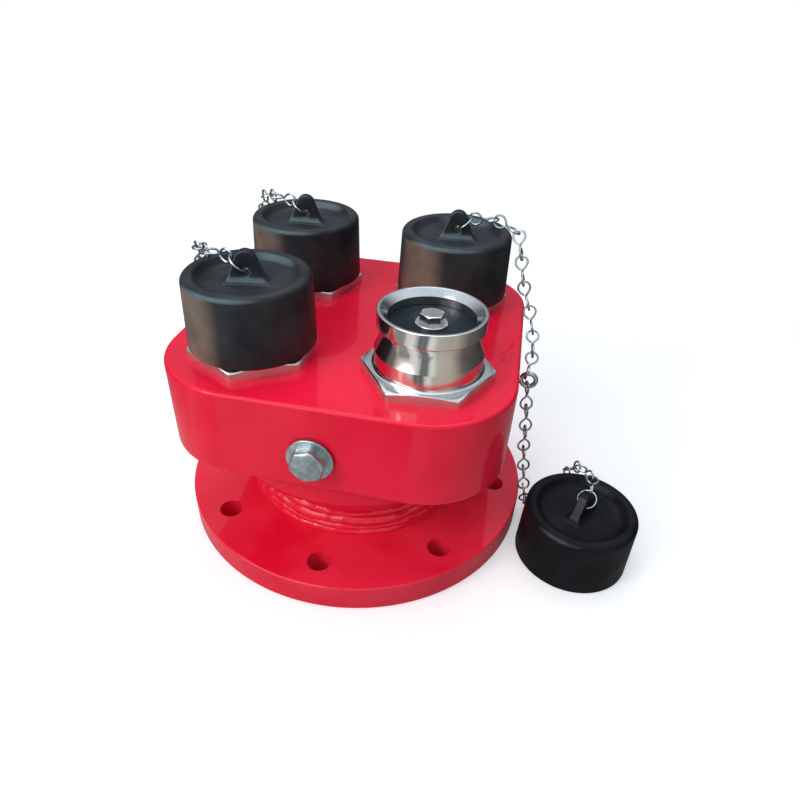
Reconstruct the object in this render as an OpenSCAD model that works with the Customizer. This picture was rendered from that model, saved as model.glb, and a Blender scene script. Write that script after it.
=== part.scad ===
// Four-way fire department connection: a flanged riser, a rounded square
// head and four male instantaneous inlets with back-pressure valves, rubber
// caps on chains and a drain plug. Origin: centre of the flange's underside.
// +Z is up, -Y is the drain plug's side.

/* [Flange and riser] */
// Outside diameter of the base flange
flange_d = 285; // [280:1:290]
// Thickness of the base flange
flange_t = 22; // [18:1:24]
// Diameter of the bolt circle
pcd = 240; // [236:1:244]
// Number of bolt holes
bolt_n = 8; // [4:4:12]
// Diameter of a bolt hole
bolt_d = 18; // [16:1:24]
// Outside diameter of the riser pipe
pipe_d = 168.3; // [165:0.1:170]
// Wall of the riser pipe
pipe_wall = 4.5; // [3.5:0.5:6]

/* [Head] */
// Width and depth of the head
head_w = 244; // [240:2:248]
// Radius of the head's four corners
head_corner_r = 61; // [58:1:64]
// Height of the head's lower edge
head_z0 = 97; // [95:1:100]
// Height of the head's top face
head_z1 = 162; // [160:1:165]
// Wall of the head
head_wall = 10; // [8:1:11]
// Radius on the head's top and bottom edges
head_edge_r = 2.5; // [1.5:0.5:3]
// Diameter of the round socket under the head
socket_d = 220; // [210:1:224]
// Height of the socket's lower edge
socket_z0 = 67; // [64:1:76]

/* [Inlets] */
// Distance of each inlet's axis from the two centre planes
inlet_xy = 61; // [60:0.5:62]
// Size of an inlet's hexagon across the flats
hex_af = 80; // [77:0.5:82]
// Thickness of an inlet's hexagon
hex_t = 7; // [5:0.5:8]
// Height of an inlet's lip above the head
lip_h = 46; // [44:1:48]
// Diameter of an inlet's lip
lip_d = 70.4; // [70:0.1:70.6]
// Diameter of an inlet's base above the hexagon
base_d = 72; // [71:0.1:74]
// Diameter of an inlet's waist
waist_d = 63; // [62.6:0.1:65]

/* [Caps] */
// Diameter of a cap at its mouth
cap_mouth_d = 87.6; // [86:0.1:89]
// Diameter of a cap just under its top edge
cap_top_d = 85; // [84:0.1:86]
// Height of a cap's rim above its mouth
cap_h = 48.7; // [48:0.1:50]
// Gap between a fitted cap's mouth and the hexagon
cap_gap = 0.3; // [0.2:0.1:1]
// Depth of the dish in a cap's top
dish_depth = 6.5; // [5:0.5:7]
// Height of a cap's lug above the dish
lug_h = 21; // [18:1:23]
// Width of a cap's lug at its root
lug_w = 27; // [24:1:30]
// Thickness of a cap's lug
lug_t = 7.5; // [7:0.5:8]
// Centre of the loose cap on the floor, across
loose_x = 188.5; // [188:0.5:194]
// Centre of the loose cap on the floor, in depth
loose_y = -41.5; // [-44:0.5:-40]

/* [Chains] */
// Diameter of the chain wire
wire_d = 1.6; // [1.4:0.1:1.7]
// Radius of a chain loop, to the middle of the wire
loop_r = 4.5; // [4.4:0.1:4.6]
// Distance between the two loops of a link
link_span = 13; // [12.5:0.5:13.5]

/* [Drain plug] */
// Offset of the drain plug from the centre plane
plug_x = -2.2; // [-4:0.2:4]
// Height of the drain plug's axis
plug_z = 123; // [121:1:126]
// Size of the plug's hexagon across the flats
plug_af = 22; // [20:1:24]
// Distance that the plug stands out of the head
plug_out = 11; // [10:1:13]

/* [Hidden] */

$fn = 96;
eps = 0.01;

// Colours of the finished pieces.
red_paint = [0.86, 0.10, 0.18];
stainless = [0.78, 0.78, 0.76];
zinc = [0.62, 0.68, 0.68];
black_rubber = [0.10, 0.11, 0.12];

// Riser: the pipe stands in the flange's bore and in the head's socket.
pipe_r = pipe_d / 2;
pipe_bore_r = pipe_r - pipe_wall;
pipe_fit = 0.15;
pipe_z0 = 5;
edge_chamfer = 1;
flange_r = flange_d / 2;
socket_r = socket_d / 2;
socket_edge_r = 6;

// Welds: each run is [distance out of the pipe, height above the flange, bead].
foot_runs = [[2.8, 1.4, 4], [1.6, 5.6, 4.2], [0.6, 11, 4.6], [-0.9, 17, 3.6]];
socket_bead = 6;

// Inlet: heights are above the head's top face.
spigot_r = 37.5;
spigot_z = -15;
guide_top = -8;
guide_h = 6;
guide_ring_r = 34.15;
seat_r = 28.4;
seat_z = 36;
valve_bore_r = 29.3;
wide_bore_r = 33.5;
wide_z = 18;
narrow_z = 24;
bevel_r = 29;
bevel_z = lip_h - 4;
lip_z = lip_h - 9.5;
waist_z = lip_h - 12.5;
flare_z = lip_h - 27;
flare_bend = 1.5;
lip_face = 2;
foot_fillet = 2;
base_r = base_d / 2;
lip_r = lip_d / 2;
waist_r = waist_d / 2;
hex_chamfer_r = 41;
hex_chamfer_slope = 0.3;
lip_edge = 0.6;

// Back-pressure valve: the spindle runs in the guide's hub.
spindle_r = 4;
running_gap = 0.06;
disc_r = 28.9;
disc_t = 5;
plate_t = 3;
plate_r = 26;
washer_t = 2;
washer_r = 10.5;
bolt_head_af = 14;
bolt_head_t = 6;
nut_af = 13;
nut_t = 6.5;
stop_gap = 0.3;
disc_top = seat_z - stop_gap;
plate_bottom = disc_top - disc_t - plate_t;
guide_bottom = guide_top - guide_h;
nut_top = guide_bottom - stop_gap;
spindle_tip = nut_top - nut_t - 3;
spring_r = 7;
spring_wire_r = 0.9;
spring_turns = 7;

// Cap: heights are above the cap's mouth.
cap_r0 = cap_mouth_d / 2;
cap_r1 = cap_top_d / 2;
cap_edge_r = 3.5;
cap_bore_r = 38.3;
cap_grip_r = 35.6;
cap_grip_z = 23;
cap_roof = 39.4;
dish_z = cap_h - dish_depth;
dish_r = 31;
dish_rim_r = 36.5;
lug_top_r = 7;
lug_hole_z = 7.5;
lug_hole_r = 2.8;
cap_z = head_z1 + hex_t + cap_gap;

// Drain plug: distances are out of the head's front face.
plug_flange_r = 16;
plug_flange_t = 1.5;
seal_t = 1;
plug_thread_r = 13.1;
plug_face_r = 10.4;
plug_face_slope = 0.42;
plug_turn = 17;

// Chains: the end link goes through a cap's lug, tilted up by end_link_tilt.
wire_r = wire_d / 2;
end_link_r = 6.9;
end_link_shift = 6.3;
end_link_tilt = 40;
link_slack = 0.8;
link_gap = 2 * loop_r - wire_d - link_slack;
link_pitch = link_span + link_gap;
eye_r = 5.5;
eye_wire_r = 1.75;
eye_x = head_w / 2 + 10;
eye_z = 130;
eye_step = 2;
near_eye_x = eye_x - eye_step;
far_eye_x = eye_x + eye_step;
eye_side_hang = 5.9;
eye_low_hang = 6.6;
loop_seat = 1.1;

// Where each inlet stands, and how its hexagon and its cap's lug are turned.
fl = [-inlet_xy, -inlet_xy];
fr = [inlet_xy, -inlet_xy];
bl = [-inlet_xy, inlet_xy];
br = [inlet_xy, inlet_xy];
hex_turn_fl = 32;
hex_turn_fr = 4;
hex_turn_bl = 12;
hex_turn_br = 5;
lug_turn_fl = 192;
lug_turn_bl = 184;
lug_turn_br = 3;
lug_turn_loose = 61;
turn_fl = lug_turn_fl - 180;
turn_bl = 180 - lug_turn_bl;
loose = [loose_x, loose_y];

// Routes of the fitted caps' chains, drawn on the back right inlet: each runs
// from its end link over the cap's rim, past the head's edge and to the eye.
right_route = [
    [85, 59.5, 229], [98, 57, 227.5], [108, 53, 221], [112, 48, 208],
    [115, 43, 195], [119.5, 39, 182], [125.5, 35, 169], [130, 28, 156],
    [132, 16, 147], [132, 6, 141.5]
];
front_route = [
    [83.5, 59.7, 227.8], [92.5, 54, 225.6], [100.5, 45.5, 224.8],
    [106.5, 36.5, 216], [106, 30.5, 202], [107.5, 27, 189.5], [111.5, 25, 178],
    [119.5, 23.5, 169.5], [127.7, 20, 160], [131, 12, 150], [131.5, 4, 142]
];
back_route = [
    [83.5, 62.5, 228.3], [93, 69, 227], [102.5, 79.5, 222.5],
    [107.5, 86.5, 211], [107.5, 88, 197.5], [110, 89, 185.5],
    [115.5, 87, 174.5], [123, 82, 166], [129.5, 73, 159.5], [132.5, 61.5, 155],
    [133.5, 48.5, 152], [134, 35.5, 149.5], [135, 22.5, 146.5],
    [134.5, 9.5, 142]
];
// The loose cap's chain: from its end link over the back of the rim, down to
// the floor, round the cap, past the flange and up to the eye.
loose_route = [
    [196.2, -20.5, 58.2], [192.5, -9, 56], [186.5, 1, 54], [181.5, 9.5, 45],
    [179.5, 13, 32], [176.5, 14, 18], [170.5, 13, 8], [161.5, 7.5, 6.2],
    [153, -2, 8], [149, -10, 18], [145.5, -15.5, 31], [143, -14, 45],
    [140.5, -12, 60], [138, -10, 76], [136.5, -8, 92], [134.5, -5, 107],
    [132.5, -2, 118]
];

// How far each chain is twisted between its cap and its eye.
right_twist = -30;
front_twist = -50;
back_twist = -10;
loose_twist = 15;

// Points of an arc about [cr, cz].
function arc(cr, cz, r, a0, a1, n = 6) =
    [for (i = [0:n]) let (a = a0 + (a1 - a0) * i / n) [cr + r * cos(a), cz + r * sin(a)]];

// Length of the route up to point i, and the point at a distance along it.
function run_to(route, i) = i == 0 ? 0 : run_to(route, i - 1) + norm(route[i] - route[i - 1]);
function leg(route, s, i = 1) = i == len(route) - 1 || s <= run_to(route, i) ? i : leg(route, s, i + 1);
function along(route, s) =
    let (i = leg(route, s), a = route[i - 1], b = route[i], d = norm(b - a))
    a + (b - a) * (s - run_to(route, i - 1)) / d;
function unit(v) = v / norm(v);
function turned(v, axis, a) = v * cos(a) + cross(axis, v) * sin(a);

// Middle of a chain's first loop, for a lug hole at p turned by t: its wire
// passes just inside the end link's far side, and it points to the next point.
function chain_start(p, t, next) =
    let (
        reach = end_link_shift + end_link_r - wire_r,
        flat = reach * cos(end_link_tilt) - loop_seat,
        wire = p + [flat * cos(t), flat * sin(t), reach * sin(end_link_tilt)]
    )
    wire + loop_r * unit(next - wire);

// ---- Riser ----

// Steel slip-on flange, bored for the pipe and drilled for its bolts.
module base_flange() {
    color(red_paint)
    difference() {
        rotate_extrude()
            polygon([
                [pipe_r + pipe_fit, 0], [flange_r - edge_chamfer, 0], [flange_r, edge_chamfer],
                [flange_r, flange_t - edge_chamfer], [flange_r - edge_chamfer, flange_t],
                [pipe_r + pipe_fit, flange_t]
            ]);
        for (i = [0:bolt_n - 1])
            rotate([0, 0, i * 360 / bolt_n])
                translate([pcd / 2, 0, -1])
                    cylinder(h = flange_t + 2, d = bolt_d);
    }
}

// Riser pipe between the flange and the head.
module neck_pipe() {
    color(red_paint)
    translate([0, 0, pipe_z0])
        difference() {
            cylinder(h = head_z0 - pipe_z0, r = pipe_r);
            translate([0, 0, -1])
                cylinder(h = head_z0 - pipe_z0 + 2, r = pipe_bore_r);
        }
}

// One run of weld round the pipe: a torus of bead radius b.
module weld_run(r, z, b) {
    translate([0, 0, z])
        rotate_extrude()
            translate([r, 0])
                circle(r = b, $fn = 24);
}

// Fillet weld of four runs in the corner of the flange and the pipe.
module lower_weld() {
    color(red_paint)
    difference() {
        union() {
            for (run = foot_runs)
                weld_run(pipe_r + run[0], flange_t + run[1], run[2]);
        }
        translate([0, 0, flange_t - 10])
            cylinder(h = 10, r = flange_r);
        cylinder(h = head_z0, r = pipe_r);
    }
}

// Seal weld between the pipe's end and the flange's bore, under the flange.
module inner_weld() {
    color(red_paint)
    rotate_extrude()
        polygon([
            [pipe_bore_r + 1, pipe_z0], [pipe_r + pipe_fit, pipe_z0], [pipe_r + pipe_fit, 1]
        ]);
}

// Fillet weld where the pipe enters the head's socket.
module upper_weld() {
    color(red_paint)
    difference() {
        weld_run(pipe_r, socket_z0, socket_bead);
        translate([0, 0, socket_z0])
            cylinder(h = socket_bead + 1, r = socket_r);
        cylinder(h = head_z0, r = pipe_r);
    }
}

// ---- Head ----

// Section of a bar w wide from z0 to z1 with rounded edges.
module rounded_bar(w, z0, z1, r) {
    translate([-w / 2 + r, z0])
        square([w - 2 * r, z1 - z0]);
    translate([-w / 2, z0 + r])
        square([w, z1 - z0 - 2 * r]);
    for (x = [-w / 2 + r, w / 2 - r], z = [z0 + r, z1 - r])
        translate([x, z])
            circle(r = r, $fn = 32);
}

// Rounded square block with rounded edges: two crossed bars and four corners.
module rounded_block(w, corner, z0, z1, r) {
    span = w - 2 * corner;
    for (turn = [0, 90])
        rotate([90, 0, turn])
            translate([0, 0, -span / 2])
                linear_extrude(span)
                    rounded_bar(w, z0, z1, r);
    for (x = [-1, 1], y = [-1, 1])
        translate([x * span / 2, y * span / 2, 0])
            rotate_extrude()
                intersection() {
                    rounded_bar(2 * corner, z0, z1, r);
                    translate([0, z0])
                        square([corner, z1 - z0]);
                }
}

// Plain rounded square block, for the water chamber.
module plain_block(w, corner, z0, z1) {
    span = w - 2 * corner;
    translate([-w / 2, -span / 2, z0])
        cube([w, span, z1 - z0]);
    translate([-span / 2, -w / 2, z0])
        cube([span, w, z1 - z0]);
    for (x = [-1, 1], y = [-1, 1])
        translate([x * span / 2, y * span / 2, z0])
            cylinder(h = z1 - z0, r = corner);
}

// Cast head: water chamber, round socket for the riser, four inlet ports and
// the drain port.
module head() {
    color(red_paint)
    difference() {
        union() {
            rounded_block(head_w, head_corner_r, head_z0, head_z1, head_edge_r);
            translate([0, 0, socket_z0])
                rotate_extrude()
                    polygon(concat(
                        [[0, 0]],
                        arc(socket_r - socket_edge_r, socket_edge_r, socket_edge_r, -90, 0),
                        [[socket_r, head_z0 - socket_z0 + 5], [0, head_z0 - socket_z0 + 5]]
                    ));
        }
        plain_block(head_w - 2 * head_wall, head_corner_r - head_wall,
            head_z0 + head_wall, head_z1 - head_wall);
        translate([0, 0, socket_z0 - 1])
            cylinder(h = head_z0 - socket_z0 + 1, r = pipe_r + pipe_fit);
        translate([0, 0, head_z0 - 1])
            cylinder(h = head_wall + 2, r = pipe_bore_r);
        for (p = [fl, fr, bl, br])
            translate([p[0], p[1], head_z1 - head_wall - 1])
                cylinder(h = head_wall + 2, r = spigot_r);
        translate([plug_x, -head_w / 2 + head_wall + 1, plug_z])
            rotate([90, 0, 0])
                cylinder(h = head_wall + 2, r = plug_thread_r + running_gap);
    }
}

// ---- Drain plug ----

// Fibre sealing ring under the plug's flange.
module drain_seal() {
    color([0.25, 0.22, 0.2])
    translate([plug_x, -head_w / 2, plug_z])
        rotate([90, 0, 0])
            difference() {
                cylinder(h = seal_t, r = plug_flange_r - 0.6);
                translate([0, 0, -1])
                    cylinder(h = seal_t + 2, r = plug_thread_r + running_gap);
            }
}

// Flanged hexagon plug, screwed through the front wall.
module drain_plug() {
    hex_r = plug_af / 2 / cos(30);
    hex_z = seal_t + plug_flange_t + stop_gap;
    color(zinc)
    translate([plug_x, -head_w / 2, plug_z])
        rotate([90, 0, 0]) {
            translate([0, 0, -head_wall - 4])
                cylinder(h = head_wall + 4 + seal_t + stop_gap + eps, r = plug_thread_r);
            translate([0, 0, seal_t + stop_gap])
                cylinder(h = plug_flange_t, r = plug_flange_r);
            intersection() {
                rotate([0, 0, plug_turn])
                    translate([0, 0, hex_z - eps])
                        cylinder(h = plug_out - hex_z, r = hex_r, $fn = 6);
                rotate_extrude()
                    polygon([
                        [0, 0], [hex_r + 1, 0],
                        [hex_r + 1, plug_out - (hex_r + 1 - plug_face_r) * plug_face_slope],
                        [plug_face_r, plug_out], [0, plug_out]
                    ]);
            }
        }
}

// ---- Inlets ----

// Stainless male coupling with its hexagon and screwed spigot, in one piece.
module inlet(turn) {
    hex_r = hex_af / 2 / cos(30);
    color(stainless) {
        intersection() {
            rotate([0, 0, turn])
                difference() {
                    cylinder(h = hex_t, r = hex_r, $fn = 6);
                    translate([0, 0, -1])
                        cylinder(h = hex_t + 2, r = base_r - 1);
                }
            rotate_extrude()
                polygon([
                    [0, 0], [hex_r + 1, 0],
                    [hex_r + 1, hex_t - (hex_r + 1 - hex_chamfer_r) * hex_chamfer_slope],
                    [hex_chamfer_r, hex_t], [0, hex_t]
                ]);
        }
        rotate_extrude()
            polygon(concat(
                [
                    [guide_ring_r + 0.05, spigot_z], [spigot_r, spigot_z], [spigot_r, 0],
                    [base_r + foot_fillet, 0]
                ],
                arc(base_r + foot_fillet, hex_t + foot_fillet, foot_fillet, 270, 180, 4),
                [for (i = [0:7]) let (t = i / 8)
                    [waist_r + (base_r - waist_r) * pow(1 - t, flare_bend),
                        flare_z + (waist_z - flare_z) * t]],
                [for (i = [0:8]) let (t = i / 8)
                    [waist_r + (lip_r - waist_r) * pow(t, 2), waist_z + (lip_z - waist_z) * t]],
                [
                    [lip_r, lip_h - lip_edge], [lip_r - lip_edge, lip_h],
                    [lip_r - lip_face, lip_h],
                    [bevel_r, bevel_z], [seat_r, bevel_z - 0.5], [seat_r, seat_z],
                    [valve_bore_r, seat_z], [valve_bore_r, narrow_z], [wide_bore_r, wide_z],
                    [wide_bore_r, guide_top], [guide_ring_r + 0.05, guide_top]
                ]
            ));
    }
}

// ---- Back-pressure valves ----

// Guide spider, pressed up into the spigot: ring, three arms and a bored hub.
module valve_guide() {
    color(stainless)
    translate([0, 0, guide_bottom])
        difference() {
            union() {
                difference() {
                    cylinder(h = guide_h, r = guide_ring_r);
                    translate([0, 0, -1])
                        cylinder(h = guide_h + 2, r = guide_ring_r - 3);
                }
                cylinder(h = guide_h, r = spring_r + 2);
                for (a = [30, 150, 270])
                    rotate([0, 0, a])
                        translate([spindle_r + 2, -2, 0])
                            cube([guide_ring_r - spindle_r - 4, 4, guide_h]);
            }
            translate([0, 0, -1])
                cylinder(h = guide_h + 2, r = spindle_r + running_gap);
        }
}

// Rubber sealing disc.
module valve_disc() {
    color(black_rubber)
    translate([0, 0, disc_top - disc_t])
        difference() {
            cylinder(h = disc_t, r = disc_r);
            translate([0, 0, -1])
                cylinder(h = disc_t + 2, r = spindle_r + 0.1);
        }
}

// Turned plate that backs the rubber disc and takes the spring.
module valve_plate() {
    color(stainless)
    rotate_extrude()
        polygon([
            [spindle_r + 0.1, plate_bottom], [plate_r - 1, plate_bottom],
            [plate_r, plate_bottom + 1], [plate_r, disc_top - disc_t],
            [spindle_r + 0.1, disc_top - disc_t]
        ]);
}

// Washer that clamps the disc under the spindle's head.
module valve_washer() {
    color(stainless)
    rotate_extrude()
        polygon([
            [spindle_r + 0.1, disc_top], [washer_r, disc_top],
            [washer_r, disc_top + washer_t - 0.5], [washer_r - 0.5, disc_top + washer_t],
            [spindle_r + 0.1, disc_top + washer_t]
        ]);
}

// Hexagon-headed spindle through the disc and the guide.
module valve_spindle() {
    z = disc_top + washer_t;
    head_r = bolt_head_af / 2 / cos(30);
    color(stainless) {
        intersection() {
            rotate([0, 0, 20])
                translate([0, 0, z])
                    cylinder(h = bolt_head_t, r = head_r, $fn = 6);
            rotate_extrude()
                polygon([
                    [0, z], [head_r + 1, z], [head_r + 1, z + bolt_head_t - 1.2],
                    [bolt_head_af / 2 - 0.4, z + bolt_head_t], [0, z + bolt_head_t]
                ]);
        }
        rotate_extrude()
            polygon([
                [0, spindle_tip], [spindle_r - 1, spindle_tip], [spindle_r, spindle_tip + 1],
                [spindle_r, z + 1], [0, z + 1]
            ]);
    }
}

// Lock nut under the guide: it sets the valve's closed height.
module valve_nut() {
    color(stainless)
    translate([0, 0, nut_top - nut_t])
        difference() {
            cylinder(h = nut_t, r = nut_af / 2 / cos(30), $fn = 6);
            translate([0, 0, -1])
                cylinder(h = nut_t + 2, r = spindle_r);
        }
}

// Closing spring round the spindle: a ring of points swept up a helix.
module valve_spring() {
    sides = 6;
    per_turn = 14;
    rings = spring_turns * per_turn;
    z0 = guide_top + spring_wire_r + 0.05;
    rise = plate_bottom - spring_wire_r - 0.05 - z0;
    points = [
        for (i = [0:rings], k = [0:sides - 1])
            let (a = 360 * i / per_turn, b = 360 * k / sides, r = spring_r + spring_wire_r * cos(b))
            [r * cos(a), r * sin(a), z0 + rise * i / rings + spring_wire_r * sin(b)]
    ];
    walls = [
        for (i = [0:rings - 1], k = [0:sides - 1])
            let (n = (k + 1) % sides)
            [i * sides + k, i * sides + n, (i + 1) * sides + n, (i + 1) * sides + k]
    ];
    color(zinc)
    polyhedron(points, concat(
        walls,
        [[for (k = [sides - 1:-1:0]) k]],
        [[for (k = [0:sides - 1]) rings * sides + k]]
    ));
}

// ---- Caps ----

// Lug outline: a rounded triangle with its sides tangent to the top circle.
module lug_outline() {
    top = lug_h - lug_top_r;
    reach = norm([lug_w / 2, top]);
    slope = atan2(top, -lug_w / 2) - asin(lug_top_r / reach);
    touch = sqrt(pow(reach, 2) - pow(lug_top_r, 2));
    tx = lug_w / 2 + touch * cos(slope);
    tz = touch * sin(slope);
    translate([0, top])
        circle(r = lug_top_r);
    polygon([[-lug_w / 2, -1], [lug_w / 2, -1], [lug_w / 2, 0], [tx, tz], [-tx, tz], [-lug_w / 2, 0]]);
}

// Moulded rubber cap: a cup with a grip bead, a dished top and a lug.
module cap(turn) {
    color(black_rubber)
    rotate([0, 0, turn]) {
        rotate_extrude()
            polygon(concat(
                [[cap_bore_r, 0], [cap_r0 - 1, 0], [cap_r0, 1]],
                arc(cap_r1 - cap_edge_r, cap_h - cap_edge_r, cap_edge_r, 0, 90),
                arc(dish_rim_r, cap_h - 1.5, 1.5, 90, 150, 3),
                [[dish_r + 2, dish_z + 1.2], [dish_r, dish_z], [0, dish_z]],
                [[0, cap_roof], [cap_bore_r - 2, cap_roof]],
                [[cap_bore_r, cap_roof - 2], [cap_bore_r, cap_grip_z + 5]],
                [[cap_grip_r, cap_grip_z + 2], [cap_grip_r, cap_grip_z - 2], [cap_bore_r, cap_grip_z - 5]]
            ));
        translate([0, 0, dish_z])
            rotate([90, 0, 0])
                translate([0, 0, -lug_t / 2])
                    linear_extrude(lug_t)
                        difference() {
                            lug_outline();
                            translate([0, lug_hole_z])
                                circle(r = lug_hole_r);
                        }
    }
}

// ---- Chains ----

// Wire end link through a cap's lug, tilted up away from it.
module end_link(turn) {
    color(zinc)
    translate([0, 0, dish_z + lug_hole_z])
        rotate([0, -end_link_tilt, turn])
            translate([end_link_shift, 0, 0])
                rotate_extrude()
                    translate([end_link_r, 0])
                        circle(r = wire_r, $fn = 24);
}

// One wire loop in the plane of the local X and Y axes.
module loop() {
    rotate_extrude($fn = 48)
        translate([loop_r, 0])
            circle(r = wire_r, $fn = 24);
}

// One jack-chain link: two loops at right angles, joined at its twisted waist.
module link() {
    translate([-link_span / 2, 0, 0])
        loop();
    translate([link_span / 2, 0, 0])
        rotate([90, 0, 0])
            loop();
    waist = link_span / 2 - loop_r;
    translate([-waist, 0, 0])
        rotate([0, 90, 0])
            cylinder(h = 2 * waist, r = wire_r * 1.4, $fn = 24);
}

// A link laid from point a towards point b, with its first loop square to u.
module link_between(a, b, u) {
    d = unit(b - a);
    v = cross(d, u);
    m = (a + b) / 2;
    multmatrix([
        [d[0], v[0], -u[0], m[0]],
        [d[1], v[1], -u[1], m[1]],
        [d[2], v[2], -u[2], m[2]],
        [0, 0, 0, 1]
    ])
        link();
}

// Links spaced evenly along a route. Each follows the turn of the one before
// it, and the whole chain is twisted by an angle between its two ends.
module chain(route, twist) {
    length = run_to(route, len(route) - 1);
    count = ceil((length + link_gap) / link_pitch);
    step = (length - link_span) / (count - 1);
    starts = [for (i = [0:count - 1]) along(route, i * step)];
    ends = [for (i = [0:count - 1]) along(route, i * step + link_span)];
    runs = [for (i = [0:count - 1]) unit(ends[i] - starts[i])];
    sides = [
        for (i = 0, u = unit(cross(runs[0], [0, 0, 1])); i < count;
            i = i + 1, d = runs[min(i, count - 1)],
            u = turned(unit(u - d * (u * d)), d, twist / (count - 1))) u
    ];
    color(zinc)
    for (i = [0:count - 1])
        link_between(starts[i], ends[i], sides[i]);
}

// Chain of a fitted cap on the back right inlet, ending in the eye at x.
module fitted_chain(x, turn, route, twist) {
    lug = [inlet_xy, inlet_xy, cap_z + dish_z + lug_hole_z];
    start = chain_start(lug, turn, route[0]);
    chain(concat([start], route, [[x, 0, eye_z + eye_side_hang]]), twist);
}

module front_left_chain()
    rotate([0, 0, 180]) fitted_chain(near_eye_x, turn_fl, front_route, front_twist);

module back_left_chain()
    mirror([1, 0, 0]) fitted_chain(far_eye_x, turn_bl, back_route, back_twist);

module back_right_chain()
    fitted_chain(near_eye_x, lug_turn_br, right_route, right_twist);

// Chain of the loose cap, from its lug to the underside of the right eye.
module loose_chain() {
    lug = [loose_x, loose_y, dish_z + lug_hole_z];
    start = chain_start(lug, lug_turn_loose, loose_route[0]);
    chain(concat([start], loose_route, [[eye_x, 0, eye_z - eye_low_hang]]), loose_twist);
}

// Wire eye welded to the side of the head, with its stem into the wall.
module chain_eye() {
    color(zinc)
    translate([eye_x, 0, eye_z]) {
        rotate([90, 0, 0])
            rotate_extrude()
                translate([eye_r, 0])
                    circle(r = eye_wire_r, $fn = 32);
        translate([head_w / 2 - eye_x, 0, 0])
            rotate([0, 90, 0])
                cylinder(h = eye_x - head_w / 2 - eye_r, r = eye_wire_r + 0.5);
    }
}

// ---- Places ----

// On an inlet's axis, at the head's top face.
module on_inlet(p) {
    translate([p[0], p[1], head_z1])
        children();
}

// On an inlet's axis, at the mouth of a fitted cap.
module capped(p) {
    translate([p[0], p[1], cap_z])
        children();
}

base_flange();
neck_pipe();
lower_weld();
inner_weld();
upper_weld();
head();
drain_plug();
drain_seal();
mirror([1, 0, 0]) chain_eye();  // chain_eye_left
chain_eye();  // chain_eye_right
on_inlet(fl) inlet(hex_turn_fl);  // inlet_fl
on_inlet(fr) inlet(hex_turn_fr);  // inlet_fr
on_inlet(bl) inlet(hex_turn_bl);  // inlet_bl
on_inlet(br) inlet(hex_turn_br);  // inlet_br
on_inlet(fl) valve_guide();  // valve_guide_fl
on_inlet(fr) valve_guide();  // valve_guide_fr
on_inlet(bl) valve_guide();  // valve_guide_bl
on_inlet(br) valve_guide();  // valve_guide_br
on_inlet(fl) valve_disc();  // valve_disc_fl
on_inlet(fr) valve_disc();  // valve_disc_fr
on_inlet(bl) valve_disc();  // valve_disc_bl
on_inlet(br) valve_disc();  // valve_disc_br
on_inlet(fl) valve_plate();  // valve_plate_fl
on_inlet(fr) valve_plate();  // valve_plate_fr
on_inlet(bl) valve_plate();  // valve_plate_bl
on_inlet(br) valve_plate();  // valve_plate_br
on_inlet(fl) valve_washer();  // valve_washer_fl
on_inlet(fr) valve_washer();  // valve_washer_fr
on_inlet(bl) valve_washer();  // valve_washer_bl
on_inlet(br) valve_washer();  // valve_washer_br
on_inlet(fl) valve_spindle();  // valve_spindle_fl
on_inlet(fr) valve_spindle();  // valve_spindle_fr
on_inlet(bl) valve_spindle();  // valve_spindle_bl
on_inlet(br) valve_spindle();  // valve_spindle_br
on_inlet(fl) valve_nut();  // valve_nut_fl
on_inlet(fr) valve_nut();  // valve_nut_fr
on_inlet(bl) valve_nut();  // valve_nut_bl
on_inlet(br) valve_nut();  // valve_nut_br
on_inlet(fl) valve_spring();  // valve_spring_fl
on_inlet(fr) valve_spring();  // valve_spring_fr
on_inlet(bl) valve_spring();  // valve_spring_bl
on_inlet(br) valve_spring();  // valve_spring_br
capped(fl) cap(lug_turn_fl);  // cap_fl
translate(loose) cap(lug_turn_loose);  // cap_fr
capped(bl) cap(lug_turn_bl);  // cap_bl
capped(br) cap(lug_turn_br);  // cap_br
capped(fl) end_link(lug_turn_fl);  // end_link_fl
translate(loose) end_link(lug_turn_loose);  // end_link_fr
capped(bl) end_link(lug_turn_bl);  // end_link_bl
capped(br) end_link(lug_turn_br);  // end_link_br
front_left_chain();  // chain_fl
loose_chain();  // chain_fr
back_left_chain();  // chain_bl
back_right_chain();  // chain_br
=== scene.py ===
"""Four-way fire department connection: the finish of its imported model, in metres.

The file follows the object from the floor up: riser, head, drain plug, inlets, valves,
caps and chains. Each section makes one piece or a group of like pieces.
"""

import math

import bmesh
import bpy
from mathutils import Matrix, Quaternion, Vector, noise


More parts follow.
